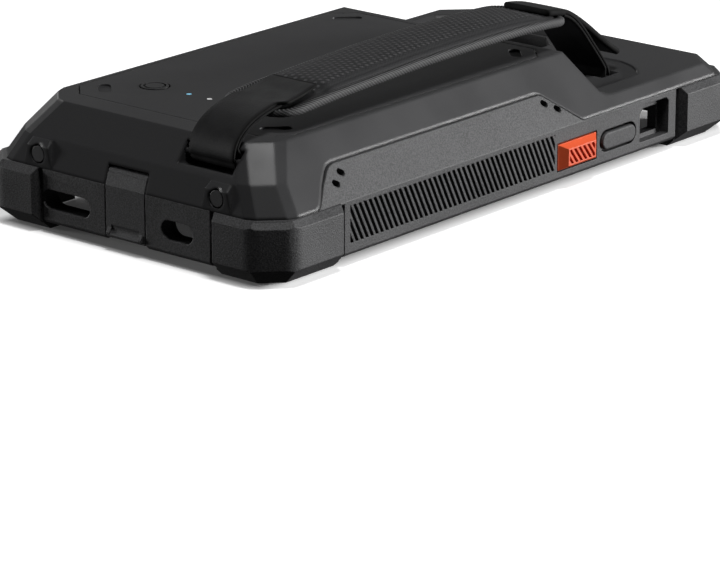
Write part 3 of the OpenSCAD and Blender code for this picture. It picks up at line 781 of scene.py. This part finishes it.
def honeycomb():
    """Raised six-sided tiles on the floor that the phone lies on."""
    # scale and height of each ring of a tile, from its foot to its face
    levels = (
        (1.0, TILE_BASE + 0.02),
        (1.0, TILE_FACE + 0.10),
        (0.97, TILE_FACE + 0.03),
        (0.92, TILE_FACE),
    )
    bm = bmesh.new()
    for row in range(-9, 10):
        for col in range(-16, 17):
            outline = tile((col + (0.5 if row % 2 else 0.0)) * TILE_PITCH_X, row * TILE_PITCH_Y)
            if len(outline) < 3 or area_of(outline) < MIN_TILE_AREA:
                continue
            if any(by_the_camera(x, y) for x, y in outline):
                continue
            mx = sum(x for x, _ in outline) / len(outline)
            my = sum(y for _, y in outline) / len(outline)
            rings = []
            for k, z in levels:
                ring = [((mx + (x - mx) * k) * MM, (my + (y - my) * k) * MM, z * MM) for x, y in outline]
                rings.append([bm.verts.new(point) for point in ring])
            skin(bm, zip(rings, rings[1:]))
            bm.faces.new(rings[-1])
            bm.faces.new(rings[0][::-1])
    bmesh.ops.recalc_face_normals(bm, faces=bm.faces)
    ob = make("honeycomb", bm, "tray_plastic", 50)
    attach(ob, "sled")


honeycomb()


# ---------------------------------------------------------------- stage, in metres
FLOOR_R = 6.0
FLOOR_Z = -0.0002
SHADE_X, SHADE_Y = 0.0775, 0.035  # half size of the painted shadow under the part, where the floor does not glow
SHADE_EDGE = 0.004


def floor_material():
    """A pale table that glows softly, except in a box under the part where the glow is cut off: a painted
    shadow.
    """
    nt, p = shader("floor_pale", (0.88, 0.88, 0.88), 0.9, 0.1)
    mottle = mix_colour(nt, noise_of(nt, 30.0), (0.87, 0.87, 0.87), (0.89, 0.89, 0.89))
    nt.links.new(mottle, p.inputs["Base Color"])
    p.inputs["Emission Color"].default_value = (1, 1, 1, 1)
    here = add(nt, "ShaderNodeVectorMath", operation="ABSOLUTE")
    nt.links.new(coords(nt), here.inputs[0])
    past = add(nt, "ShaderNodeVectorMath", operation="SUBTRACT")
    nt.links.new(here.outputs[0], past.inputs[0])
    past.inputs[1].default_value = (SHADE_X, SHADE_Y, 0.0)
    outside = add(nt, "ShaderNodeVectorMath", operation="MAXIMUM")
    nt.links.new(past.outputs[0], outside.inputs[0])
    span = add(nt, "ShaderNodeVectorMath", operation="LENGTH")
    nt.links.new(outside.outputs[0], span.inputs[0])
    # the glow is cut off inside the box under the part: a painted shadow, seen under the rim and through the
    # openings
    glow_here = ramp(nt, span.outputs["Value"], 0.0, SHADE_EDGE, 0.0, 0.55)
    nt.links.new(glow_here, p.inputs["Emission Strength"])


def lay_floor():
    corners = 64
    ring = [round_point((0, 0), FLOOR_R, 360 * i / corners) for i in range(corners)]
    mesh = bpy.data.meshes.new("floor")
    mesh.from_pydata([(x, y, FLOOR_Z) for x, y in ring], [], [list(range(corners))])
    floor_material()
    mesh.materials.append(MAT["floor_pale"])
    ob = bpy.data.objects.new("floor", mesh)
    bpy.context.scene.collection.objects.link(ob)
    ob.visible_diffuse = False
    ob.visible_glossy = False


def softbox(name, direction, distance, width, height, power):
    """A rectangular light that looks at the part from a direction."""
    d = Vector(direction).normalized()
    light = bpy.data.lights.new(name, "AREA")
    light.shape = "RECTANGLE"
    light.size = width
    light.size_y = height
    light.energy = power
    ob = bpy.data.objects.new(name, light)
    bpy.context.scene.collection.objects.link(ob)
    ob.location = Vector((0, 0, 0.015)) + d * distance
    ob.rotation_mode = "QUATERNION"
    ob.rotation_quaternion = (-d).to_track_quat("-Z", "Y")


def light_the_studio():
    softbox("key_right", (0.72, -0.69, 0.12), 1.7, 0.5, 0.34, 50)
    softbox("overhead", (-0.14, -0.26, 0.95), 1.2, 0.28, 0.28, 8)
    softbox("left_rear", (-0.38, 0.92, 0.05), 1.8, 0.5, 0.3, 17)
    softbox("rear_fill", (0.45, 0.9, 0.30), 1.8, 0.8, 0.5, 4)
    softbox("rear_card", (0.73, 0.61, 0.31), 1.8, 1.2, 0.8, 0.7)
    world = bpy.data.worlds.new("studio")
    bpy.context.scene.world = world
    world.use_nodes = True
    background = world.node_tree.nodes["Background"]
    background.inputs["Color"].default_value = (1, 1, 1, 1)
    background.inputs["Strength"].default_value = 0.03


def set_up_camera(place, target, lens):
    data = bpy.data.cameras.new("camera")
    data.lens = lens
    data.sensor_width = 36.0
    data.clip_start = 0.01
    data.clip_end = 50
    ob = bpy.data.objects.new("camera", data)
    bpy.context.scene.collection.objects.link(ob)
    ob.location = place
    ob.rotation_mode = "QUATERNION"
    ob.rotation_quaternion = (target - place).to_track_quat("-Z", "Y")
    bpy.context.scene.camera = ob


lay_floor()
light_the_studio()
set_up_camera(Vector((-0.63405, -0.53066, 0.24347)), Vector((-0.06346, -0.04971, 0.0)), 195.1)
bpy.context.scene.view_settings.view_transform = "Standard"
